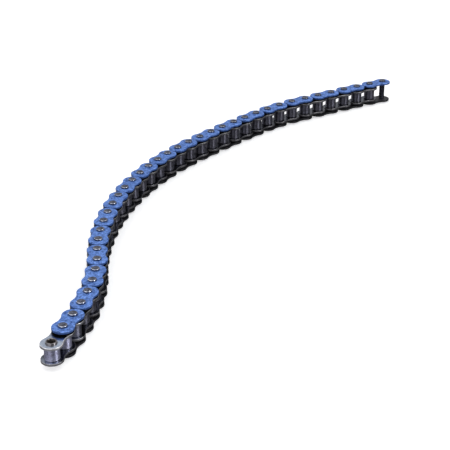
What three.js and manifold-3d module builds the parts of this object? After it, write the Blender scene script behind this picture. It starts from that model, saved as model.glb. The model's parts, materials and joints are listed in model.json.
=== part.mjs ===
// Sealed roller chain of 5/8 inch pitch, motorcycle width, lying on its side along a gentle curve.
//
// The pins stand upright and their lower ends rest on Z = 0. Inner links (two silver plates, two bushes
// pressed into them, a roller on each bush) alternate with outer links (two blue plates, two riveted pins).
// The bushes stand out of the inner plates, and a rubber seal ring sits round each end of a bush, between
// the inner plate and the outer one. The pins turn in the bushes, so every link swings about the upright
// pin that it shares with the next one. The chain starts with an inner link, whose first bush is free and
// has no seals, and ends with an outer link.
//
// The first links are made of separate pieces. Further along, each link is one solid of the same shape.
// Millimetres and degrees. The origin is under the middle of the chain's plan box.

import * as THREE from 'three';
import { mergeVertices } from 'three/addons/utils/BufferGeometryUtils.js';
import Module from 'manifold-3d';

const wasm = await Module();
wasm.setup();

// ---- Driving dimensions ----

const PITCH = 15.875; // pin to pin
const LINK_COUNT = 38; // inner and outer links together
const SPLIT_LINK_COUNT = 4; // links at the free end that are made of separate pieces

const INNER_WIDTH = 9.53; // between the inner plates
const PLATE_THICKNESS = 1.8;
const PLATE_END_RADIUS = 7.55;
const PLATE_HALF_WAIST = 5.9;
const SEAL_SPACE = 1.4; // inner plate to outer plate, on each side
const SIDE_PLAY = 0.15; // seal or bush to outer plate, on each side

const ROLLER_RADIUS = 5.08;
const ROLLER_BORE_RADIUS = 3.85;
const ROLLER_END_PLAY = 0.15; // roller to inner plate, at each end
const BUSH_RADIUS = 3.65;
const BUSH_BORE_RADIUS = 2.85;
const SEAL_RADIUS = 5.4;
const PIN_RADIUS = 2.62;
const PIN_STAND_OUT = 1.35; // pin end beyond the outer plate
const RIVET_RADIUS = 3.1; // spread end of the pin, against the outer plate
const RIVET_TIP_RADIUS = 2.7; // its flat tip
const PRESS_GAP = 0.05; // round a piece that is pressed into a plate

// The curve that the chain lies in: the first link's direction, and how much each joint turns from
// straight, towards the left where it is positive.
const FIRST_HEADING = 69.4;
const BENDS = [
  { joints: 7, turn: 3.7 },
  { joints: 15, turn: -2.83 },
  { joints: 6, turn: -1.0 },
  { joints: 3, turn: -4.1 },
  { joints: 6, turn: -0.6 },
];

// How finely round shapes are faceted: a separate piece, and a link that is one solid.
const FINE = { plateEnd: 8, waist: 2, pin: 12, bush: 12, roller: 12, seal: 12 };
const PLAIN = { plateEnd: 6, waist: 2, pin: 8, bush: 10, roller: 10, seal: 10 };

// ---- Heights above the chain's middle plane ----

const INNER_PLATE_INSIDE = INNER_WIDTH / 2;
const INNER_PLATE_OUTSIDE = INNER_PLATE_INSIDE + PLATE_THICKNESS;
const OUTER_PLATE_INSIDE = INNER_PLATE_OUTSIDE + SEAL_SPACE;
const BUSH_END = OUTER_PLATE_INSIDE - SIDE_PLAY;
const OUTER_PLATE_OUTSIDE = OUTER_PLATE_INSIDE + PLATE_THICKNESS;
const PIN_END = OUTER_PLATE_OUTSIDE + PIN_STAND_OUT;

// ---- Finishes ----

const FINISHES = {
  bluePlate: { color: 0x5478c8, roughness: 0.42, metalness: 0.35 },
  silverPlate: { color: 0xb4bac6, roughness: 0.22, metalness: 0.95 },
  pinSteel: { color: 0x8a8584, roughness: 0.3, metalness: 0.95 },
  bushSteel: { color: 0x4a4a4e, roughness: 0.35, metalness: 0.9 },
  rollerSteel: { color: 0x85868e, roughness: 0.28, metalness: 0.95 },
  sealRubber: { color: 0x17171a, roughness: 0.6, metalness: 0 },
};

function namedMesh(name, geometry, finish) {
  const mesh = new THREE.Mesh(geometry, new THREE.MeshStandardMaterial(FINISHES[finish]));
  mesh.name = name;
  return mesh;
}

// ---- Solids ----

function toSolid(geometry) {
  const bare = geometry.clone();
  bare.deleteAttribute('normal');
  bare.deleteAttribute('uv');
  const merged = mergeVertices(bare);
  return new wasm.Manifold(new wasm.Mesh({
    numProp: 3,
    vertProperties: merged.attributes.position.array,
    triVerts: new Uint32Array(merged.index.array),
  }));
}

function toGeometry(solid) {
  const mesh = solid.getMesh();
  const geometry = new THREE.BufferGeometry();
  geometry.setAttribute('position', new THREE.BufferAttribute(mesh.vertProperties, 3));
  geometry.setIndex(new THREE.BufferAttribute(mesh.triVerts, 1));
  geometry.computeVertexNormals();
  return geometry;
}

// A turned shape about an upright axis at x, from (radius, height) pairs.
function turned(profile, segments, x) {
  const points = profile.map(([radius, height]) => new THREE.Vector2(radius, height));
  return new THREE.LatheGeometry(points, segments).rotateX(Math.PI / 2).translate(x, 0, 0);
}

function tube(bore, outside, bottom, top, segments, x) {
  return turned([
    [bore, bottom],
    [outside, bottom],
    [outside, top],
    [bore, top],
    [bore, bottom],
  ], segments, x);
}

function rod(radius, halfLength, segments, x) {
  return new THREE.CylinderGeometry(radius, radius, 2 * halfLength, segments)
    .rotateX(Math.PI / 2)
    .translate(x, 0, 0);
}

// Points along an arc, without its last one, where the next arc starts.
function arc(x, y, radius, from, to, steps) {
  const clockwise = to < from;
  return new THREE.EllipseCurve(x, y, radius, radius, from, to, clockwise).getPoints(steps).slice(0, -1);
}

// The plate's figure-of-eight outline: a round end about each pin, joined by hollow arcs that meet the
// ends smoothly and leave the waist between them.
function plateOutline(detail) {
  const half = PITCH / 2;
  const hollowRadius = (half ** 2 + PLATE_HALF_WAIST ** 2 - PLATE_END_RADIUS ** 2)
    / (2 * (PLATE_END_RADIUS - PLATE_HALF_WAIST));
  const hollowY = PLATE_HALF_WAIST + hollowRadius;
  const touch = Math.atan2(hollowY, half);
  const away = Math.PI - touch;
  return [
    ...arc(PITCH, 0, PLATE_END_RADIUS, -away, away, detail.plateEnd),
    ...arc(half, hollowY, hollowRadius, -touch, -away, detail.waist),
    ...arc(0, 0, PLATE_END_RADIUS, touch, 2 * Math.PI - touch, detail.plateEnd),
    ...arc(half, -hollowY, hollowRadius, away, touch, detail.waist),
  ];
}

// A plate whose lower face is at the given height. Without a hole radius it is left solid.
function plate(detail, bottom, holeRadius, holeSegments) {
  const shape = new THREE.Shape(plateOutline(detail));
  if (holeRadius) {
    shape.holes = [0, PITCH].map(
      (x) => new THREE.Path(arc(x, 0, holeRadius, 0, 2 * Math.PI, holeSegments)),
    );
  }
  return new THREE.ExtrudeGeometry(shape, { depth: PLATE_THICKNESS, bevelEnabled: false })
    .translate(0, 0, bottom);
}

// ---- Pieces of a link, with its first pin at the origin and its second at x = PITCH ----

function bush(x) {
  return tube(BUSH_BORE_RADIUS, BUSH_RADIUS, -BUSH_END, BUSH_END, FINE.bush, x);
}

function roller(x) {
  const end = INNER_PLATE_INSIDE - ROLLER_END_PLAY;
  return tube(ROLLER_BORE_RADIUS, ROLLER_RADIUS, -end, end, FINE.roller, x);
}

// A seal ring round the upper end of a bush where side is 1, or round its lower end where side is -1.
function seal(x, side) {
  const heights = [side * (INNER_PLATE_OUTSIDE + PRESS_GAP), side * BUSH_END];
  return tube(BUSH_RADIUS + PRESS_GAP, SEAL_RADIUS, Math.min(...heights), Math.max(...heights), FINE.seal, x);
}

// Its ends are spread over the outer plates, like rivets.
function pin(x) {
  const rivetFoot = OUTER_PLATE_OUTSIDE + PRESS_GAP;
  return turned([
    [0, -PIN_END],
    [RIVET_TIP_RADIUS, -PIN_END],
    [RIVET_RADIUS, -rivetFoot],
    [PIN_RADIUS, -rivetFoot],
    [PIN_RADIUS, rivetFoot],
    [RIVET_RADIUS, rivetFoot],
    [RIVET_TIP_RADIUS, PIN_END],
    [0, PIN_END],
  ], FINE.pin, x);
}

function splitInnerLink(name, sealed) {
  const hole = BUSH_RADIUS + PRESS_GAP;
  const ends = { first: 0, second: PITCH };
  const seals = sealed.flatMap((end) => [
    namedMesh(`${name}_${end}_upper_seal`, seal(ends[end], 1), 'sealRubber'),
    namedMesh(`${name}_${end}_lower_seal`, seal(ends[end], -1), 'sealRubber'),
  ]);
  return [
    namedMesh(`${name}_upper_plate`, plate(FINE, INNER_PLATE_INSIDE, hole, FINE.bush), 'silverPlate'),
    namedMesh(`${name}_lower_plate`, plate(FINE, -INNER_PLATE_OUTSIDE, hole, FINE.bush), 'silverPlate'),
    namedMesh(`${name}_first_bush`, bush(0), 'bushSteel'),
    namedMesh(`${name}_second_bush`, bush(PITCH), 'bushSteel'),
    namedMesh(`${name}_first_roller`, roller(0), 'rollerSteel'),
    namedMesh(`${name}_second_roller`, roller(PITCH), 'rollerSteel'),
    ...seals,
  ];
}

function splitOuterLink(name) {
  const hole = PIN_RADIUS + PRESS_GAP;
  return [
    namedMesh(`${name}_upper_plate`, plate(FINE, OUTER_PLATE_INSIDE, hole, FINE.pin), 'bluePlate'),
    namedMesh(`${name}_lower_plate`, plate(FINE, -OUTER_PLATE_OUTSIDE, hole, FINE.pin), 'bluePlate'),
    namedMesh(`${name}_first_pin`, pin(0), 'pinSteel'),
    namedMesh(`${name}_second_pin`, pin(PITCH), 'pinSteel'),
  ];
}

// An inner link as one solid: its rollers, bushes and seals are one with its plates, and it is bored
// through for the pins. The seals are a little wider than the rollers, so each is joined on by itself.
function joinedInnerLink() {
  let solid = toSolid(plate(PLAIN, INNER_PLATE_INSIDE)).add(toSolid(plate(PLAIN, -INNER_PLATE_OUTSIDE)));
  const intoPlates = INNER_PLATE_INSIDE + PLATE_THICKNESS / 2;
  const sealHeight = BUSH_END - intoPlates;
  for (const x of [0, PITCH]) {
    solid = solid.add(toSolid(rod(ROLLER_RADIUS, intoPlates, PLAIN.roller, x)));
    for (const side of [-1, 1]) {
      const collar = rod(SEAL_RADIUS, sealHeight / 2, PLAIN.seal, x);
      solid = solid.add(toSolid(collar.translate(0, 0, side * (intoPlates + sealHeight / 2))));
    }
  }
  for (const x of [0, PITCH]) {
    solid = solid.subtract(toSolid(rod(BUSH_BORE_RADIUS, PIN_END, PLAIN.bush, x)));
  }
  return toGeometry(solid);
}

// An outer link as one solid: its two plates joined by its two pins, with their spread ends.
function joinedOuterLink() {
  let solid = toSolid(plate(PLAIN, OUTER_PLATE_INSIDE)).add(toSolid(plate(PLAIN, -OUTER_PLATE_OUTSIDE)));
  const intoPlate = OUTER_PLATE_INSIDE + PLATE_THICKNESS / 2;
  const rivetHeight = PIN_END - intoPlate;
  for (const x of [0, PITCH]) {
    solid = solid.add(toSolid(rod(PIN_RADIUS, OUTER_PLATE_OUTSIDE, PLAIN.pin, x)));
    for (const side of [-1, 1]) {
      const upper = side > 0 ? RIVET_TIP_RADIUS : RIVET_RADIUS;
      const lower = side > 0 ? RIVET_RADIUS : RIVET_TIP_RADIUS;
      const rivet = new THREE.CylinderGeometry(upper, lower, rivetHeight, PLAIN.pin)
        .rotateX(Math.PI / 2)
        .translate(x, 0, side * (intoPlate + rivetHeight / 2));
      solid = solid.add(toSolid(rivet));
    }
  }
  return toGeometry(solid);
}

// ---- The chain ----

// How far each joint turns from straight, in order from the free end.
const turns = BENDS.flatMap(({ joints, turn }) => new Array(joints).fill(turn));

// The bushes of each inner link that carry seals: the chain's first bush is bare.
const sealedEnds = (number) => (number === 1 ? ['second'] : ['first', 'second']);

const innerLink = joinedInnerLink();
const outerLink = joinedOuterLink();

const chain = new THREE.Group();
chain.name = 'roller_chain';

const firstPin = new THREE.Vector2(0, 0);
let heading = FIRST_HEADING;
for (let number = 1; number <= LINK_COUNT; number += 1) {
  const inner = number % 2 === 1;
  const name = `link_${String(number).padStart(2, '0')}_${inner ? 'inner' : 'outer'}`;
  const link = new THREE.Group();
  link.position.set(firstPin.x, firstPin.y, PIN_END);
  link.rotation.z = THREE.MathUtils.degToRad(heading);
  if (number > SPLIT_LINK_COUNT) {
    link.add(namedMesh(name, inner ? innerLink : outerLink, inner ? 'silverPlate' : 'bluePlate'));
  } else {
    link.add(...(inner ? splitInnerLink(name, sealedEnds(number)) : splitOuterLink(name)));
  }
  chain.add(link);
  firstPin.x += PITCH * Math.cos(link.rotation.z);
  firstPin.y += PITCH * Math.sin(link.rotation.z);
  heading += turns[number - 1] ?? 0;
}

const planCentre = new THREE.Box3().setFromObject(chain, true).getCenter(new THREE.Vector3());
chain.position.set(-planCentre.x, -planCentre.y, 0);

export default chain;
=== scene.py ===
"""Looks for the sealed roller chain: its every plate, pin, bush, roller and seal, as detailed pieces."""

import json
import math

import bpy
from mathutils import Matrix, Vector
from mathutils.geometry import tessellate_polygon

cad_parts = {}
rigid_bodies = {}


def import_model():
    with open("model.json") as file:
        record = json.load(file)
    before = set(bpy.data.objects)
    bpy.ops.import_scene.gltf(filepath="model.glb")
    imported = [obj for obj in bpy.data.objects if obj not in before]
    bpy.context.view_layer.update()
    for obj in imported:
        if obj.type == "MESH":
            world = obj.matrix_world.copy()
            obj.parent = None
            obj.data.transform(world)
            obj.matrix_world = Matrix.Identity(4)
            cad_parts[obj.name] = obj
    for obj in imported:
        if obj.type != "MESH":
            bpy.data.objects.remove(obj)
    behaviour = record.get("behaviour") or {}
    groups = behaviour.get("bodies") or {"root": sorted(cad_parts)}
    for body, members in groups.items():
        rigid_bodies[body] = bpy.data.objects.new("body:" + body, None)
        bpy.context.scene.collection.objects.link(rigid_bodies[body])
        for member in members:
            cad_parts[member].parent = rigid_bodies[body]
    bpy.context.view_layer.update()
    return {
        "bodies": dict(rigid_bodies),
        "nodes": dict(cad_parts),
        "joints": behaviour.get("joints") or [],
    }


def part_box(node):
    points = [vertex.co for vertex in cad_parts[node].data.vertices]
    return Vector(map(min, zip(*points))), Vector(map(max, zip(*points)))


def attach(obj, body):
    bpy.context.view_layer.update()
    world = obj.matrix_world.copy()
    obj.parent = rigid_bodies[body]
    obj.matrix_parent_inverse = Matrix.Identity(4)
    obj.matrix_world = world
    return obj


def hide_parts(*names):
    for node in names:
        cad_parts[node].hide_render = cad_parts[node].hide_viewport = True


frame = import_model()

MM = 0.001

# ---- What the frame says: where the pins are, and the heights of the pieces ----

JOINTS = {joint["name"]: joint for joint in frame["joints"]}
LINK_COUNT = sum(body.startswith("link_") for body in frame["bodies"])


def middle(node):
    low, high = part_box(node)
    return (low + high) / 2


def find_pins():
    """The plan position of every pin, from the free bush to the last pin."""
    pins = [Vector(JOINTS["roller_spin_01_first"]["pos_m"])]
    for number in range(1, LINK_COUNT):
        pins.append(Vector(JOINTS[f"pivot_{number:02d}_{number + 1:02d}"]["pos_m"]))
    last = middle(f"link_{LINK_COUNT:02d}_outer")
    pins.append(2 * last - pins[-1])
    return pins


PINS = find_pins()
PITCH = (PINS[1] - PINS[0]).length
MIDDLE_Z = PINS[0].z


def above_middle(node, end):
    """The height of a node's lowest (0) or highest (1) point above the chain's middle plane."""
    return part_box(node)[end].z - MIDDLE_Z


INNER_IN = above_middle("link_01_inner_upper_plate", 0)
INNER_OUT = above_middle("link_01_inner_upper_plate", 1)
OUTER_IN = above_middle("link_02_outer_upper_plate", 0)
OUTER_OUT = above_middle("link_02_outer_upper_plate", 1)
PIN_END = above_middle("link_02_outer_first_pin", 1)
BUSH_END = above_middle("link_01_inner_first_bush", 1)
ROLLER_END = above_middle("link_01_inner_first_roller", 1)

# ---- Dimensions that the CAD part has too, in metres ----

PLATE_END_RADIUS = 7.55 * MM
PLATE_HALF_WAIST = 5.9 * MM
ROLLER_RADIUS = 5.08 * MM
ROLLER_BORE = 3.85 * MM
BUSH_RADIUS = 3.65 * MM
BUSH_BORE = 2.85 * MM
PIN_RADIUS = 2.62 * MM

# ---- Finer shapes, which only the looks have ----

SHARP_ANGLE = math.radians(40)
SUPPORT = 0.12 * MM  # flat band beside a rounded edge
ROUND_STEPS = 3
TURN_STEPS = 32  # round a turned piece, or a hole

# Plates
END_STEPS = 26  # round each plate end
HOLLOW_STEPS = 8
OUTER_FACE_ROUND = 0.34 * MM  # plate edge on the face it was punched from
INNER_FACE_ROUND = 0.14 * MM
HOLE_ROUND = 0.16 * MM
PRESS_GAP = 0.03 * MM  # between a plate's hole and what is pressed into it

# Edge marks, from 0 where a surface is flat to 1 where it wears most
ROUND_START_EDGE = 0.4  # where the upper rounding starts
LOWER_ROUND_EDGE = 0.8
BELOW_ROUND = ((0.45, 0.25), (0.6, 0.0))  # (share of the way down the side, edge mark)
HOLE_EDGE = 0.5  # of the mark that a plate's outside has

# Pins
DISH_RADIUS = 1.75 * MM
DISH_DEPTH = 0.45 * MM
DISH_STEPS = 5
DISH_LIP = 0.1 * MM  # from the dish out to the flat land round it
RIM_RADIUS = 3.08 * MM
RIM_ROUND = 0.42 * MM
RIM_SHOULDER = 0.15 * MM  # where the land ends, short of the rounding
RIM_HEIGHT = 0.65 * MM
RIM_TAPER = 0.03 * MM
NECK_RADIUS = 2.76 * MM
NECK_HEIGHT = 0.35 * MM
FACE_GAP = 0.01 * MM  # keeps the neck off the plate's face
SHANK_STEP = 1.0 * MM

# Bushes, rollers and seals
BUSH_ROUND = 0.2 * MM
ROLLER_ROUND = 0.3 * MM
TUBE_MIDDLE = 0.2  # share of a tube's half length, where its plain middle part starts
SEAL_MIDDLE_RADIUS = 4.58 * MM
SEAL_HALF_WIDTH = 0.78 * MM
SEAL_GAP = 0.02 * MM  # between a seal and the plates it touches
SEAL_STEPS = 12


def arc(x, y, radius, start, stop, steps):
    """Points along an arc, without its last one, where the next arc starts."""
    return [
        (x + radius * math.cos(a), y + radius * math.sin(a))
        for a in (start + (stop - start) * i / steps for i in range(steps))
    ]


def plate_outline(inset):
    """The plate's figure of eight, drawn in by the inset, with its holes at x = 0 and x = PITCH."""
    half = PITCH / 2
    narrowing = PLATE_END_RADIUS - PLATE_HALF_WAIST
    hollow = (half**2 + PLATE_HALF_WAIST**2 - PLATE_END_RADIUS**2) / (2 * narrowing)
    hollow_y = PLATE_HALF_WAIST + hollow
    touch = math.atan2(hollow_y, half)
    away = math.pi - touch
    end = PLATE_END_RADIUS - inset
    return (
        arc(PITCH, 0, end, -away, away, END_STEPS)
        + arc(half, hollow_y, hollow + inset, -touch, -away, HOLLOW_STEPS)
        + arc(0, 0, end, touch, 2 * math.pi - touch, END_STEPS)
        + arc(half, -hollow_y, hollow + inset, away, touch, HOLLOW_STEPS)
    )


def rim_section(bottom, top, bottom_round, top_round):
    """(inset, height, edge) down a rim from the upper face to the lower one."""
    section = [(top_round + SUPPORT, top, 0.0)]
    for step in range(ROUND_STEPS + 1):
        turn = math.pi / 2 * step / ROUND_STEPS
        inset = top_round * (1 - math.sin(turn))
        section.append((inset, top - top_round * (1 - math.cos(turn)), 1.0 if step else ROUND_START_EDGE))
    for depth, edge in BELOW_ROUND:
        section.append((0.0, top - depth * (top - bottom), edge))
    for step in range(ROUND_STEPS + 1):
        turn = math.pi / 2 * (1 - step / ROUND_STEPS)
        inset = bottom_round * (1 - math.sin(turn))
        section.append((inset, bottom + bottom_round * (1 - math.cos(turn)), LOWER_ROUND_EDGE))
    section.append((bottom_round + SUPPORT, bottom, 0.0))
    return section


class Shape:
    """Points, edge marks, faces and their material numbers for one piece, in its link's own frame."""

    def __init__(self):
        self.points = []
        self.edges = []
        self.faces = []
        self.kinds = []

    def ring(self, outline, height, edge):
        first = len(self.points)
        for x, y in outline:
            self.points.append((x, y, height))
            self.edges.append(edge)
        return list(range(first, len(self.points)))

    def band(self, upper, lower, kind=0):
        count = len(upper)
        for i in range(count):
            j = (i + 1) % count
            self.faces.append((upper[i], lower[i], lower[j], upper[j]))
            self.kinds.append(kind)

    def cone(self, upper, lower):
        """A band where one of the rings is a single point on the axis."""
        tip_above = len(upper) == 1
        ring = lower if tip_above else upper
        tip = (upper if tip_above else lower)[0]
        count = len(ring)
        for i in range(count):
            j = (i + 1) % count
            self.faces.append((tip, ring[i], ring[j]) if tip_above else (tip, ring[j], ring[i]))
            self.kinds.append(0)

    def fill(self, rings, upward, kind=0):
        """A flat face between the first ring and the others, which are holes in it."""
        loops = [[Vector(self.points[i]) for i in ring] for ring in rings]
        flat = [i for ring in rings for i in ring]
        for triangle in tessellate_polygon(loops):
            a, b, c = (flat[i] for i in triangle)
            pa, pb, pc = (Vector(self.points[i]) for i in (a, b, c))
            up = (pb - pa).cross(pc - pa).z > 0
            self.faces.append((a, b, c) if up == upward else (a, c, b))
            self.kinds.append(kind)


def plate_shape(bottom, top, hole, bottom_round, top_round, kinds):
    """A punched plate. kinds are the material numbers of its upper face, its edges and its lower face."""
    shape = Shape()
    upper_kind, edge_kind, lower_kind = kinds
    section = rim_section(bottom, top, bottom_round, top_round)
    rings = [shape.ring(plate_outline(inset), height, edge) for inset, height, edge in section]
    for upper, lower in zip(rings, rings[1:]):
        shape.band(upper, lower, edge_kind)
    uppers, lowers = [rings[0]], [rings[-1]]
    hole_section = rim_section(bottom, top, HOLE_ROUND, HOLE_ROUND)
    for x in (0, PITCH):
        hole_rings = [
            shape.ring(arc(x, 0, hole + inset, 2 * math.pi, 0, TURN_STEPS), height, HOLE_EDGE * edge)
            for inset, height, edge in hole_section
        ]
        for upper, lower in zip(hole_rings, hole_rings[1:]):
            shape.band(upper, lower, edge_kind)
        uppers.append(hole_rings[0])
        lowers.append(hole_rings[-1])
    shape.fill(uppers, True, upper_kind)
    shape.fill(lowers, False, lower_kind)
    return shape


def turned_shape(profile, x, closed):
    """A turned piece about an upright axis at x, from (radius, height, edge) downwards along its outside.
    A closed profile is a ring's section. An open one starts and ends on the axis."""
    shape = Shape()
    rings = []
    for radius, height, edge in profile:
        if radius <= 0:
            shape.points.append((x, 0, height))
            shape.edges.append(edge)
            rings.append([len(shape.points) - 1])
        else:
            rings.append(shape.ring(arc(x, 0, radius, 0, 2 * math.pi, TURN_STEPS), height, edge))
    pairs = list(zip(rings, rings[1:]))
    if closed:
        pairs.append((rings[-1], rings[0]))
    for upper, lower in pairs:
        if len(upper) == 1 or len(lower) == 1:
            shape.cone(upper, lower)
        else:
            shape.band(upper, lower)
    return shape


def mirrored(profile):
    """A profile that runs down to the middle plane, and on to its mirror image below."""
    return profile + [(radius, -height, edge) for radius, height, edge in reversed(profile)]


def pin_profile():
    """A riveted pin: a dish pressed into each end, and a rim that the riveting has spread a little."""
    profile = []
    for step in range(DISH_STEPS + 1):
        share = step / DISH_STEPS
        profile.append((DISH_RADIUS * share, PIN_END - DISH_DEPTH * (1 - share**2), 0.0))
    profile.append((DISH_RADIUS + DISH_LIP, PIN_END, 0.3))
    profile.append((RIM_RADIUS - RIM_ROUND - RIM_SHOULDER, PIN_END, 0.3))
    profile.append((RIM_RADIUS - RIM_ROUND, PIN_END, 0.8))
    for step in range(1, ROUND_STEPS + 2):
        turn = math.pi / 2 * step / (ROUND_STEPS + 1)
        radius = RIM_RADIUS - RIM_ROUND * (1 - math.sin(turn))
        profile.append((radius, PIN_END - RIM_ROUND * (1 - math.cos(turn)), 1.0))
    profile += [
        (RIM_RADIUS - RIM_TAPER, PIN_END - RIM_HEIGHT, 0.0),
        (NECK_RADIUS, OUTER_OUT + NECK_HEIGHT, 0.0),
        (NECK_RADIUS, OUTER_OUT + FACE_GAP, 0.0),
        (PIN_RADIUS, OUTER_OUT + FACE_GAP, 0.0),
        (PIN_RADIUS, OUTER_IN, 0.0),
        (PIN_RADIUS, OUTER_IN - SHANK_STEP, 0.0),
    ]
    return mirrored(profile)


def tube_profile(bore, radius, end, rim):
    """A tube with rounded ends, from its bore's middle, over its upper end, down its outside."""
    half = [(bore, TUBE_MIDDLE * end, 0.0), (bore, end - rim - SUPPORT, 0.0)]
    for step in range(ROUND_STEPS + 1):
        turn = math.pi / 2 * step / ROUND_STEPS
        half.append((bore + rim * (1 - math.cos(turn)), end - rim * (1 - math.sin(turn)), 0.8))
    for step in range(ROUND_STEPS + 1):
        turn = math.pi / 2 * step / ROUND_STEPS
        half.append((radius - rim * (1 - math.sin(turn)), end - rim * (1 - math.cos(turn)), 1.0))
    half += [(radius, end - rim - SUPPORT, 0.3), (radius, TUBE_MIDDLE * end, 0.0)]
    return mirrored(half)


def seal_profile(side):
    """A squeezed ring of round section, between the inner and the outer plate, above (1) or below (-1)."""
    low, high = sorted((side * INNER_OUT, side * OUTER_IN))
    half_height = (high - low) / 2 - SEAL_GAP
    profile = []
    for step in range(SEAL_STEPS):
        turn = math.pi / 2 - 2 * math.pi * step / SEAL_STEPS
        radius = SEAL_MIDDLE_RADIUS + SEAL_HALF_WIDTH * math.cos(turn)
        profile.append((radius, (low + high) / 2 + half_height * math.sin(turn), 0.0))
    return profile


# ---- Pieces ----

# Where painted shade starts on each link, in millimetres along it from its first hole: it stands in for the
# shade that falls over the links past the free end. The rest are in painted shade throughout.
LINK_SHADE_STARTS = {1: 4.0, 2: 20.0, 3: -12.0}
SHADED_THROUGHOUT = -100.0
FIRST_ROLLERS_SHADE_START = -3.0  # painted shade on the first link's rollers, from the roller's own centre
FIRST_LOWER_SHADE_START = -12.0  # painted shade under the upper plate, on the first link's lower plate and lower seal, from each one's own centre
PINS_SHADE_START = -1.5  # from the pin's own centre, so that a little painted shade reaches its end
PINS_SHADE_GROWS = 7.0  # millimetres further back that the painted shade starts on pins at the far end of the chain than at the near end


def shade_start(name, number, centre):
    """Where painted shade starts on a piece, in millimetres along its link from the piece's centre."""
    if name.startswith("pin"):
        return PINS_SHADE_START - PINS_SHADE_GROWS * number / LINK_COUNT
    if name.startswith("roll") and number == 1:
        return FIRST_ROLLERS_SHADE_START
    if number == 1 and "lower" in name:
        return FIRST_LOWER_SHADE_START
    return LINK_SHADE_STARTS.get(number, SHADED_THROUGHOUT) - centre / MM


def mark_points(mesh, name, kind, field, values):
    """Gives every point of a mesh a value that its materials can read."""
    mesh.attributes.new(name, kind, "POINT").data.foreach_set(field, values)


def make_piece(name, shape, number, body, nodes, materials, centre=0.0):
    """Sets a shape down on a link, counted from 1, as a piece that rides on a body and stands for CAD
    nodes. The centre is how far along the link the piece's own middle lies."""
    first, second = PINS[number - 1], PINS[number]
    heading = math.atan2(second.y - first.y, second.x - first.x)
    place = Matrix.Translation(first) @ Matrix.Rotation(heading, 4, "Z")
    mesh = bpy.data.meshes.new(name)
    mesh.from_pydata([place @ Vector(p) for p in shape.points], [], shape.faces)
    for material in materials:
        mesh.materials.append(material)
    mesh.polygons.foreach_set("material_index", shape.kinds)
    mesh.polygons.foreach_set("use_smooth", [True] * len(mesh.polygons))
    on_link = [c / MM for x, y, z in shape.points for c in (x - centre, y, z)]
    shade_from = [shade_start(name, number, centre)] * len(shape.points)
    mark_points(mesh, "place", "FLOAT_VECTOR", "vector", on_link)
    mark_points(mesh, "edge", "FLOAT", "value", shape.edges)
    mark_points(mesh, "shade_from", "FLOAT", "value", shade_from)
    mesh.update()
    mesh.validate()
    mesh.set_sharp_from_angle(angle=SHARP_ANGLE)
    piece = bpy.data.objects.new(name, mesh)
    bpy.context.scene.collection.objects.link(piece)
    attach(piece, body)
    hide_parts(*nodes)
    return piece


# ---- Materials ----

# Painted shade: the dark colour that stands in for the shade over the chain's links and pins
PAINTED_SHADE = (0.042, 0.04, 0.044)
# Painted shade in a ring round each bush on the bright plates
BUSH_RING_SHADE = (0.05, 0.045, 0.045)
WORN_BRIGHT = (0.92, 0.92, 0.92)
SHADE_FADE = 12.0  # millimetres over which the painted shade fades in
# Millimetres from a pin's centre: where the painted shadow and reflection of the seal and the outer plate
# on a bright plate thins, and where it ends
SEAL_SHADOW_FROM = 6.6
SEAL_SHADOW_TO = 8.1
RING_FADE = 0.7  # millimetres over which the painted shade ring round a pin or a bush fades out
SHADE_HIDES_WEAR = 0.8  # share of an edge's wear that painted shade covers
LINK_PITCH = PITCH / MM  # in millimetres


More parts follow.
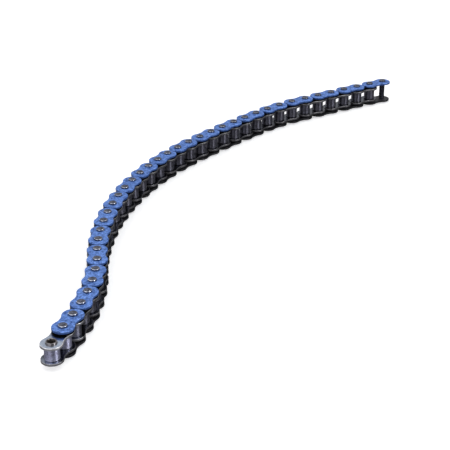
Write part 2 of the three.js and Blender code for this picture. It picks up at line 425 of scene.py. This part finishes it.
class Nodes:
    """A material's node tree, with short ways to add to it. Every pattern is in millimetres."""

    def __init__(self, name, **constants):
        self.material = bpy.data.materials.new(name)
        self.material.use_nodes = True
        self.tree = self.material.node_tree
        self.shader = self.tree.nodes["Principled BSDF"]
        for socket, value in constants.items():
            self.shader.inputs[socket.replace("_", " ")].default_value = value
        coordinates = self.add("ShaderNodeTexCoord")
        self.where = self.scaled(coordinates.outputs["Object"], (1 / MM,) * 3)
        place = self.add("ShaderNodeAttribute", attribute_name="place")
        self.place = place.outputs["Vector"]
        edge = self.add("ShaderNodeAttribute", attribute_name="edge")
        self.edge = edge.outputs["Fac"]
        # Painted shade: rises along the link from where each piece's mark says it starts
        shade_from = self.add("ShaderNodeAttribute", attribute_name="shade_from")
        self.along = self.add("ShaderNodeSeparateXYZ", {"Vector": self.place})
        past = self.math("SUBTRACT", self.along.outputs["X"], shade_from.outputs["Fac"])
        self.shade_share = self.span(past, 0.0, SHADE_FADE)

    def add(self, kind, inputs=(), **settings):
        node = self.tree.nodes.new(kind)
        for key, value in settings.items():
            setattr(node, key, value)
        for key, value in dict(inputs).items():
            self.put(node.inputs[key], value)
        return node

    def put(self, socket, value):
        if isinstance(value, bpy.types.NodeSocket):
            self.tree.links.new(value, socket)
        else:
            socket.default_value = value

    def scaled(self, vector, scale):
        node = self.add("ShaderNodeVectorMath", operation="MULTIPLY")
        self.put(node.inputs[0], vector)
        node.inputs[1].default_value = scale
        return node.outputs[0]

    def math(self, operation, a, b=0.0, clamp=False):
        node = self.add("ShaderNodeMath", operation=operation, use_clamp=clamp)
        self.put(node.inputs[0], a)
        self.put(node.inputs[1], b)
        return node.outputs[0]

    def noise(self, scale, detail=3.0, rough=0.55, vector=None):
        """Fine cloudy noise from 0 to 1, with about as many features to the millimetre as scale says."""
        inputs = {
            "Vector": self.where if vector is None else vector,
            "Scale": scale,
            "Detail": detail,
            "Roughness": rough,
        }
        return self.add("ShaderNodeTexNoise", inputs).outputs["Fac"]

    def span(self, value, low, high, new_low=0.0, new_high=1.0):
        node = self.add(
            "ShaderNodeMapRange",
            {"Value": value, "From Min": low, "From Max": high, "To Min": new_low, "To Max": new_high},
        )
        return node.outputs["Result"]

    def spread(self, noise, new_low=0.0, new_high=1.0):
        """Stretches the range that a noise mostly has to the one that is given."""
        return self.span(noise, 0.3, 0.7, new_low, new_high)

    def mix(self, share, first, second):
        node = self.add("ShaderNodeMix", data_type="RGBA")
        self.put(node.inputs["Factor"], share)
        for socket, value in ((node.inputs[6], first), (node.inputs[7], second)):
            self.put(socket, value if isinstance(value, bpy.types.NodeSocket) else (*value, 1.0))
        return node.outputs[2]

    def from_upright(self, x=0.0):
        """The distance from an upright line through x on the link, where 0 is a turned piece's own axis."""
        node = self.add("ShaderNodeVectorMath", operation="DISTANCE")
        self.put(node.inputs[0], self.scaled(self.place, (1, 1, 0)))
        node.inputs[1].default_value = (x, 0, 0)
        return node.outputs["Value"]

    def from_holes(self):
        """The distance from the nearer of a plate's two hole centres."""
        return self.math("MINIMUM", self.from_upright(), self.from_upright(LINK_PITCH))

    def bump(self, height, depth, under=None):
        """Raises the surface by the height's pattern, the depth in millimetres."""
        node = self.add("ShaderNodeBump", {"Height": height, "Strength": 1.0, "Distance": depth * MM})
        if under is not None:
            self.put(node.inputs["Normal"], under)
        return node.outputs["Normal"]

    def finish(self, colour, roughness, normal):
        self.put(self.shader.inputs["Base Color"], colour)
        self.put(self.shader.inputs["Roughness"], roughness)
        self.put(self.shader.inputs["Normal"], normal)
        return self.material


def shade(colour, share):
    """A darker shade of a colour."""
    return tuple(share * c for c in colour)


def add_painted_shade(nodes, colour, more=0.0):
    """Paints shade over a colour, a little unevenly, past where it starts on the piece or where more asks
    for it.
    """
    smear = nodes.spread(nodes.noise(scale=0.6, detail=4.0, rough=0.6), 0.76, 0.98)
    share = nodes.math("MULTIPLY", nodes.math("MAXIMUM", nodes.shade_share, more), smear, clamp=True)
    return nodes.mix(share, colour, PAINTED_SHADE)


def worn(nodes, low, high, share):
    """Where an edge is worn: patches along the rounding, fewer under painted shade."""
    patches = nodes.span(nodes.noise(scale=1.6, detail=4.0, rough=0.7), low, high)
    shown = nodes.math("SUBTRACT", 1.0, nodes.math("MULTIPLY", nodes.shade_share, SHADE_HIDES_WEAR))
    wear = nodes.math("MULTIPLY", nodes.math("MULTIPLY", nodes.edge, patches), shown, clamp=True)
    return nodes.math("MULTIPLY", wear, share)


def coat(name, light, dark, bare, metallic, rough, wear):
    """A satin coat on a punched plate: mottled and finely grained, with painted shade down its edges and in
    a ring round each pin, and worn to the bare metal in thin patches along its edges."""
    nodes = Nodes(name, Metallic=metallic, Specular_IOR_Level=0.4)
    cloud = nodes.math("MULTIPLY", nodes.span(nodes.noise(scale=0.35, detail=3.0), 0.38, 0.62), 0.4)
    speckle = nodes.span(nodes.noise(scale=0.8, detail=4.0, rough=0.75), 0.4, 0.6)
    grain = nodes.math("MULTIPLY", speckle, 0.6)
    colour = nodes.mix(nodes.math("ADD", cloud, grain), dark, light)

    # Painted shade down the plate's edges, darker the further below the outer face
    height = nodes.math("ABSOLUTE", nodes.along.outputs["Z"])
    depth = nodes.math("SUBTRACT", OUTER_OUT / MM, height)
    colour = nodes.mix(nodes.span(depth, 0.2, 0.6, 0.0, 0.75), colour, shade(dark, 0.6))
    # Painted shade in a ring round each pin
    rim = RIM_RADIUS / MM
    pin_ring_mask = nodes.span(nodes.from_holes(), rim, rim + RING_FADE, 0.6, 0.0)
    colour = nodes.mix(pin_ring_mask, colour, shade(dark, 0.35))
    colour = nodes.mix(worn(nodes, low=0.52, high=0.75, share=wear), colour, bare)

    roughness = nodes.math("ADD", nodes.spread(nodes.noise(scale=0.9, detail=4.0), -0.07, 0.09), rough)
    peel = nodes.bump(nodes.noise(scale=1.1, detail=2.0), depth=0.07)
    fine = nodes.noise(scale=7.0, detail=3.0)
    return nodes.finish(colour, roughness, nodes.bump(fine, depth=0.006, under=peel))


def bright_plate(name, light, dark, smooth, rough):
    """Bright plated steel that was tumbled: fine streaks along the plate, a ring of painted shade round
    each bush, a painted shadow and reflection of the seal and outer plate round the second hole, and
    painted shade past where it starts on the link."""
    nodes = Nodes(name, Metallic=1.0)
    drawn_out = nodes.scaled(nodes.place, (0.5, 7.0, 7.0))
    streaks = nodes.noise(scale=1.0, detail=4.0, rough=0.6, vector=drawn_out)
    cloud = nodes.noise(scale=0.3, detail=3.0)
    tone = nodes.math("ADD", nodes.spread(streaks, 0.0, 0.45), nodes.spread(cloud, 0.0, 0.55))
    colour = nodes.mix(tone, dark, light)

    # Painted shade in a ring round each bush
    bush = BUSH_RADIUS / MM
    bush_ring_mask = nodes.span(nodes.from_holes(), bush, bush + RING_FADE, 0.75, 0.0)
    colour = nodes.mix(bush_ring_mask, colour, BUSH_RING_SHADE)
    # Painted shadow and reflection of the seal and outer plate, round the second hole
    from_second = nodes.from_upright(LINK_PITCH)
    seal_shadow_mask = nodes.span(from_second, SEAL_SHADOW_FROM, SEAL_SHADOW_TO, 1.0, 0.0)
    colour = add_painted_shade(nodes, colour, seal_shadow_mask)
    colour = nodes.mix(worn(nodes, low=0.35, high=0.6, share=0.8), colour, WORN_BRIGHT)

    roughness = nodes.spread(nodes.noise(scale=1.4, detail=4.0), smooth, rough)
    streaked = nodes.bump(streaks, depth=0.008)
    fine = nodes.noise(scale=5.0, detail=3.0)
    return nodes.finish(colour, roughness, nodes.bump(fine, depth=0.005, under=streaked))


def turned_steel(
    name, light, dark, rim, rough, lines_to_mm, rings_to_mm, film, film_share, stretch, metallic
):
    """Turned steel: fine lines round the axis on its side, rings on its ends, and a thin film of grease.
    The lines draw its highlights out along the axis, by the stretch."""
    nodes = Nodes(name, Metallic=metallic, Anisotropic=stretch, Anisotropic_Rotation=0.25)
    if stretch:
        tangent = nodes.add("ShaderNodeTangent", direction_type="RADIAL", axis="Z")
        nodes.put(nodes.shader.inputs["Tangent"], tangent.outputs["Tangent"])
    squashed = nodes.scaled(nodes.place, (0.35, 0.35, lines_to_mm))
    lines = nodes.noise(scale=1.0, detail=3.0, rough=0.6, vector=squashed)
    from_axis = nodes.math("MULTIPLY", nodes.from_upright(), rings_to_mm)
    radius = nodes.add("ShaderNodeCombineXYZ", {"X": from_axis})
    rings = nodes.noise(scale=1.0, detail=2.0, rough=0.5, vector=radius.outputs["Vector"])
    speckle = nodes.span(nodes.noise(scale=1.1, detail=4.0, rough=0.75), 0.4, 0.6, -0.2, 0.6)
    tone = nodes.math("ADD", nodes.spread(lines, 0.0, 0.4), nodes.spread(rings, 0.0, 0.2))
    colour = nodes.mix(nodes.math("ADD", tone, speckle, clamp=True), dark, light)

    smear = nodes.span(nodes.noise(scale=0.7, detail=4.0, rough=0.6), 0.5, 0.68, 0.0, film_share)
    colour = nodes.mix(smear, colour, film)
    colour = nodes.mix(worn(nodes, low=0.35, high=0.6, share=0.8), colour, rim)

    roughness = nodes.math("ADD", nodes.spread(nodes.noise(scale=1.8, detail=4.0), -0.07, 0.1), rough)
    lined = nodes.bump(lines, depth=0.008)
    # Painted shade over the piece where it lies past its start
    return nodes.finish(add_painted_shade(nodes, colour), roughness, nodes.bump(rings, depth=0.01, under=lined))


def greased_rubber(name):
    """Black rubber, a little greasy."""
    nodes = Nodes(name, Specular_IOR_Level=0.5)
    grain = nodes.noise(scale=4.0, detail=4.0, rough=0.6)
    colour = nodes.mix(nodes.spread(grain), (0.006, 0.006, 0.007), (0.018, 0.018, 0.02))
    roughness = nodes.span(nodes.noise(scale=0.9, detail=3.0), 0.35, 0.65, 0.16, 0.42)
    return nodes.finish(colour, roughness, nodes.bump(grain, depth=0.01))


BLUE = coat(
    "satin_blue",
    light=(0.21, 0.395, 0.93),
    dark=(0.005, 0.043, 0.21),
    bare=(0.3, 0.36, 0.5),
    metallic=0.2,
    rough=0.54,
    wear=0.5,
)
BLACK = coat(
    "satin_black",
    light=(0.03, 0.03, 0.034),
    dark=(0.014, 0.014, 0.017),
    bare=(0.32, 0.3, 0.34),
    metallic=0.4,
    rough=0.34,
    wear=0.6,
)
SILVER = bright_plate(
    "bright_plate",
    light=(0.78, 0.87, 1.0),
    dark=(0.44, 0.5, 0.62),
    smooth=0.1,
    rough=0.25,
)
SILVER_EDGE = bright_plate(
    "bright_plate_edge",
    light=(0.8, 0.79, 0.82),
    dark=(0.5, 0.5, 0.54),
    smooth=0.36,
    rough=0.52,
)
PIN_STEEL = turned_steel(
    "pin_steel",
    light=(0.27, 0.28, 0.36),
    dark=(0.1, 0.105, 0.145),
    rim=(0.75, 0.78, 0.86),
    rough=0.15,
    lines_to_mm=5.0,
    rings_to_mm=5.0,
    film=(0.03, 0.028, 0.042),
    film_share=0.7,
    stretch=0.0,
    metallic=1.0,
)
BUSH_STEEL = turned_steel(
    "bush_steel",
    light=(0.36, 0.33, 0.32),
    dark=(0.16, 0.14, 0.13),
    rim=(0.3, 0.29, 0.29),
    rough=0.32,
    lines_to_mm=4.0,
    rings_to_mm=6.0,
    film=(0.05, 0.04, 0.035),
    film_share=0.8,
    stretch=0.8,
    metallic=1.0,
)
ROLLER_STEEL = turned_steel(
    "roller_steel",
    light=(0.59, 0.6, 0.81),
    dark=(0.28, 0.28, 0.4),
    rim=(0.6, 0.6, 0.66),
    rough=0.42,
    lines_to_mm=9.0,
    rings_to_mm=4.0,
    film=(0.12, 0.11, 0.13),
    film_share=0.5,
    stretch=0.85,
    metallic=0.85,
)
RUBBER = greased_rubber("greased_rubber")

# ---- The chain ----

ENDS = {"first": 0.0, "second": PITCH}
SIDES = {"upper": 1, "lower": -1}

# Material numbers of a plate's upper face, its edges and its lower face. The outer plates are blue outside
# and black inside; the lower plates' edges are black, the upper plates' blue.
INNER_KINDS = {"upper": (0, 1, 0), "lower": (0, 1, 0)}
OUTER_KINDS = {"upper": (0, 0, 1), "lower": (1, 1, 0)}


def link_nodes(number, part):
    """The CAD nodes that a piece stands for: the named part, or the whole link where it is one solid."""
    kind = "inner" if number % 2 else "outer"
    whole = f"link_{number:02d}_{kind}"
    return [whole if whole in frame["nodes"] else f"{whole}_{part}"]


def make_plates(number, near, far, hole, kinds, slot, materials):
    """A link's upper and lower plate, each between the two distances from the chain's middle plane."""
    for side, sign in SIDES.items():
        low, high = sorted((sign * near, sign * far))
        bottom_round, top_round = (INNER_FACE_ROUND, OUTER_FACE_ROUND)[::sign]
        shape = plate_shape(low, high, hole, bottom_round, top_round, kinds[side])
        nodes = link_nodes(number, f"{side}_plate")
        name = f"{slot}_{side}_{number:02d}"
        make_piece(name, shape, number, f"link_{number:02d}", nodes, materials)


def make_turned(label, number, part, profile, end, body, material):
    x = ENDS[end]
    shape = turned_shape(profile, x, closed=label != "pin")
    name = f"{label}_{number:02d}_{end}"
    make_piece(name, shape, number, body, link_nodes(number, part), [material], centre=x)


def make_seals(number, end):
    x = ENDS[end]
    for side, sign in SIDES.items():
        shape = turned_shape(seal_profile(sign), x, closed=True)
        nodes = link_nodes(number, f"{end}_{side}_seal")
        name = f"seal_{number:02d}_{end}_{side}"
        make_piece(name, shape, number, f"link_{number:02d}", nodes, [RUBBER], centre=x)


def make_inner_link(number):
    """Two plates pressed onto two bushes, a loose roller on each bush, and seals where a pin goes
    through."""
    body = f"link_{number:02d}"
    hole = BUSH_RADIUS + PRESS_GAP
    materials = [SILVER, SILVER_EDGE]
    make_plates(number, INNER_IN, INNER_OUT, hole, INNER_KINDS, "inner_plate", materials)
    bush = tube_profile(BUSH_BORE, BUSH_RADIUS, BUSH_END, BUSH_ROUND)
    roller = tube_profile(ROLLER_BORE, ROLLER_RADIUS, ROLLER_END, ROLLER_ROUND)
    for end in ENDS:
        make_turned("bush", number, f"{end}_bush", bush, end, body, BUSH_STEEL)
        turning = f"roller_{number:02d}_{end}"
        roller_body = turning if turning in frame["bodies"] else body
        make_turned("roll", number, f"{end}_roller", roller, end, roller_body, ROLLER_STEEL)
        if (number, end) != (1, "first"):
            make_seals(number, end)


def make_outer_link(number):
    """Two plates riveted to two pins."""
    body = f"link_{number:02d}"
    hole = PIN_RADIUS + PRESS_GAP
    make_plates(number, OUTER_IN, OUTER_OUT, hole, OUTER_KINDS, "outer_plate", [BLUE, BLACK])
    for end in ENDS:
        make_turned("pin", number, f"{end}_pin", pin_profile(), end, body, PIN_STEEL)


for link_number in range(1, LINK_COUNT + 1):
    if link_number % 2:
        make_inner_link(link_number)
    else:
        make_outer_link(link_number)

# ---- Studio ----

scene = bpy.context.scene
scene.view_settings.view_transform = "Standard"
scene.view_settings.look = "None"
scene.view_settings.exposure = 0.0

WHITE = (1.0, 1.0, 1.0)

# The floor and the room look pale, but light the chain less than that: a white floor would flood its gaps.
FLOOR_HALF_SIZE = 4.0  # metres
FLOOR_PALE = ((0.76, 0.76, 0.765), (0.8, 0.8, 0.8))
FLOOR_BOUNCE = (0.1, 0.1, 0.11)
FLOOR_ROUGHNESS = 0.6
FLOOR_GLOW = 0.5  # a light table's glow, which thins the shadows
ROOM_STRENGTH = 0.85
ROOM_SEEN = (1.2, 1.2, 1.2)
ROOM_DIM = (0.2, 0.2, 0.22)
ROOM_BRIGHT = (0.95, 0.97, 1.0)
ROOM_BRIGHTEST = (0.3, 0.3, 0.9)  # the direction of its brightest part
ROOM_DIM_BELOW = 0.25  # cosine of the angle from there to where it is dimmest

# Where each stands, what it points at, its width and height in metres, its watts, and its colour
NEAR_HALF = (-0.1, -0.2, 0)
SOFTBOXES = {
    "softbox_right": ((1.05, -0.7, 0.2), NEAR_HALF, (0.34, 0.3), 6.5, (0.97, 0.98, 1.0)),
    "softbox_left": ((-0.55, -1.25, 0.3), NEAR_HALF, (1.0, 0.5), 5.0, (0.97, 0.97, 1.0)),
    "softbox_back": ((-1.1, 0.75, 0.25), (0, 0.1, 0), (0.6, 0.3), 3.0, WHITE),
    "softbox_high_left": ((-1.25, -0.5, 1.35), NEAR_HALF, (1.2, 2.4), 13.0, WHITE),
    "softbox_high_right": ((1.25, -0.5, 1.35), NEAR_HALF, (1.2, 2.4), 13.0, WHITE),
}

CAMERA_PLACE = (-0.0236, -0.8961, 0.4069)  # metres
CAMERA_TILT = 64.55  # degrees up from looking straight down
CAMERA_TURN = 0.05  # degrees to the left
CAMERA_LENS = 96.0  # millimetres
CAMERA_SENSOR = 36.0  # millimetres wide
CAMERA_CLIP = 0.01  # metres


def make_floor():
    """A pale floor that glows a little."""
    size = FLOOR_HALF_SIZE
    mesh = bpy.data.meshes.new("studio_floor")
    corners = [(-size, -size, 0), (size, -size, 0), (size, size, 0), (-size, size, 0)]
    mesh.from_pydata(corners, [], [(0, 1, 2, 3)])
    nodes = Nodes("studio_floor", Specular_IOR_Level=0.25)
    pale = nodes.mix(nodes.spread(nodes.noise(scale=0.01, detail=2.0)), *FLOOR_PALE)
    path = nodes.add("ShaderNodeLightPath")
    colour = nodes.mix(path.outputs["Is Camera Ray"], FLOOR_BOUNCE, pale)
    nodes.shader.inputs["Emission Color"].default_value = (*WHITE, 1.0)
    glow = nodes.math("MULTIPLY", path.outputs["Is Camera Ray"], FLOOR_GLOW)
    nodes.put(nodes.shader.inputs["Emission Strength"], glow)
    uneven = nodes.bump(nodes.noise(scale=0.4, detail=3.0), depth=0.01)
    mesh.materials.append(nodes.finish(colour, FLOOR_ROUGHNESS, uneven))
    floor = bpy.data.objects.new("studio_floor", mesh)
    scene.collection.objects.link(floor)


def make_softbox(name, at, towards, size, power, colour):
    light = bpy.data.lights.new(name, "AREA")
    light.shape = "RECTANGLE"
    light.size, light.size_y = size
    light.energy = power
    light.color = colour
    lamp = bpy.data.objects.new(name, light)
    lamp.location = at
    lamp.rotation_euler = (Vector(towards) - Vector(at)).to_track_quat("-Z", "Y").to_euler()
    lamp.visible_camera = False
    scene.collection.objects.link(lamp)


def make_room():
    """A pale room around the floor, brightest overhead and dim near the ground."""
    world = bpy.data.worlds.new("studio")
    scene.world = world
    world.use_nodes = True
    tree = world.node_tree
    background = tree.nodes["Background"]
    background.inputs["Strength"].default_value = ROOM_STRENGTH
    coordinates = tree.nodes.new("ShaderNodeTexCoord")
    toward = tree.nodes.new("ShaderNodeVectorMath")
    toward.operation = "DOT_PRODUCT"
    toward.inputs[1].default_value = Vector(ROOM_BRIGHTEST).normalized()
    span = tree.nodes.new("ShaderNodeMapRange")
    span.inputs["From Min"].default_value = ROOM_DIM_BELOW
    span.inputs["From Max"].default_value = 1.0
    light = tree.nodes.new("ShaderNodeMix")
    light.data_type = "RGBA"
    light.inputs[6].default_value = (*ROOM_DIM, 1)
    light.inputs[7].default_value = (*ROOM_BRIGHT, 1)
    path = tree.nodes.new("ShaderNodeLightPath")
    seen = tree.nodes.new("ShaderNodeMix")
    seen.data_type = "RGBA"
    seen.inputs[7].default_value = (*ROOM_SEEN, 1)
    tree.links.new(coordinates.outputs["Generated"], toward.inputs[0])
    tree.links.new(toward.outputs["Value"], span.inputs["Value"])
    tree.links.new(span.outputs["Result"], light.inputs["Factor"])
    tree.links.new(path.outputs["Is Camera Ray"], seen.inputs["Factor"])
    tree.links.new(light.outputs[2], seen.inputs[6])
    tree.links.new(seen.outputs[2], background.inputs["Color"])


def make_camera():
    data = bpy.data.cameras.new("camera")
    data.lens = CAMERA_LENS
    data.sensor_width = CAMERA_SENSOR
    data.clip_start = CAMERA_CLIP
    camera = bpy.data.objects.new("camera", data)
    camera.location = CAMERA_PLACE
    camera.rotation_euler = (math.radians(CAMERA_TILT), 0.0, math.radians(CAMERA_TURN))
    scene.collection.objects.link(camera)
    scene.camera = camera


make_floor()
make_room()
for softbox, settings in SOFTBOXES.items():
    make_softbox(softbox, *settings)
make_camera()
